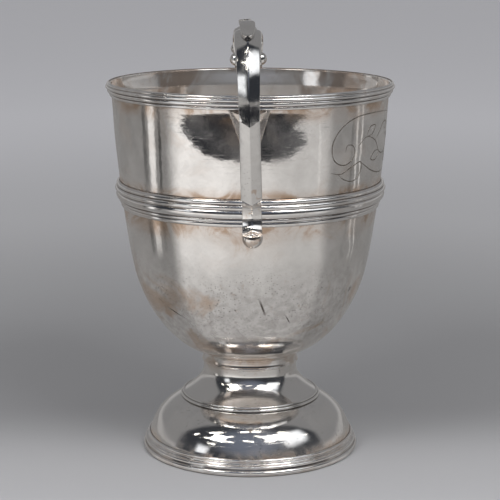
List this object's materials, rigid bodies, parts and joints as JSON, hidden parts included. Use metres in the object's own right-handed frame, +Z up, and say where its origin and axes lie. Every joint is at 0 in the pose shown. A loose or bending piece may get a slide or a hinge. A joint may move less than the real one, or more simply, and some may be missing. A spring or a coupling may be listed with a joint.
{
  "type": "cup trophy",
  "caption": "Silver presentation cup: bell bowl with reeded rim and girdle on a spool neck and domed foot, with raised scroll handles front and back.",
  "frame": {"origin": "centre of the foot, on the surface the cup stands on", "axes": "+Z up through the mouth, front handle towards -Y, back handle towards +Y, +X to the right of the front handle"},
  "size_m": [0.1526, 0.212, 0.2363],
  "materials": {
    "silver_bowl": "old silver, cloudy and lightly tarnished",
    "silver_moulding": "polished silver reeds with brown tarnish in the grooves",
    "silver_foot": "polished silver, finely scratched",
    "silver_handle": "polished cast silver"
  },
  "bodies": {
    "root": {"bowl": "silver_bowl", "rim_moulding": "silver_moulding", "girdle_band": "silver_moulding", "neck_collar": "silver_foot", "foot_spool": "silver_foot", "step_ring": "silver_foot", "foot_dome": "silver_foot", "foot_moulding": "silver_moulding", "front_mount_plate": "silver_handle", "front_bracket": "silver_handle", "front_upper_scroll": "silver_handle", "front_boss_left": "silver_handle", "front_boss_right": "silver_handle", "front_thumb_piece": "silver_handle", "front_lower_arm": "silver_handle", "front_terminal": "silver_handle", "back_mount_plate": "silver_handle", "back_bracket": "silver_handle", "back_upper_scroll": "silver_handle", "back_boss_left": "silver_handle", "back_boss_right": "silver_handle", "back_thumb_piece": "silver_handle", "back_lower_arm": "silver_handle", "back_terminal": "silver_handle"}
  },
  "joints": []
}
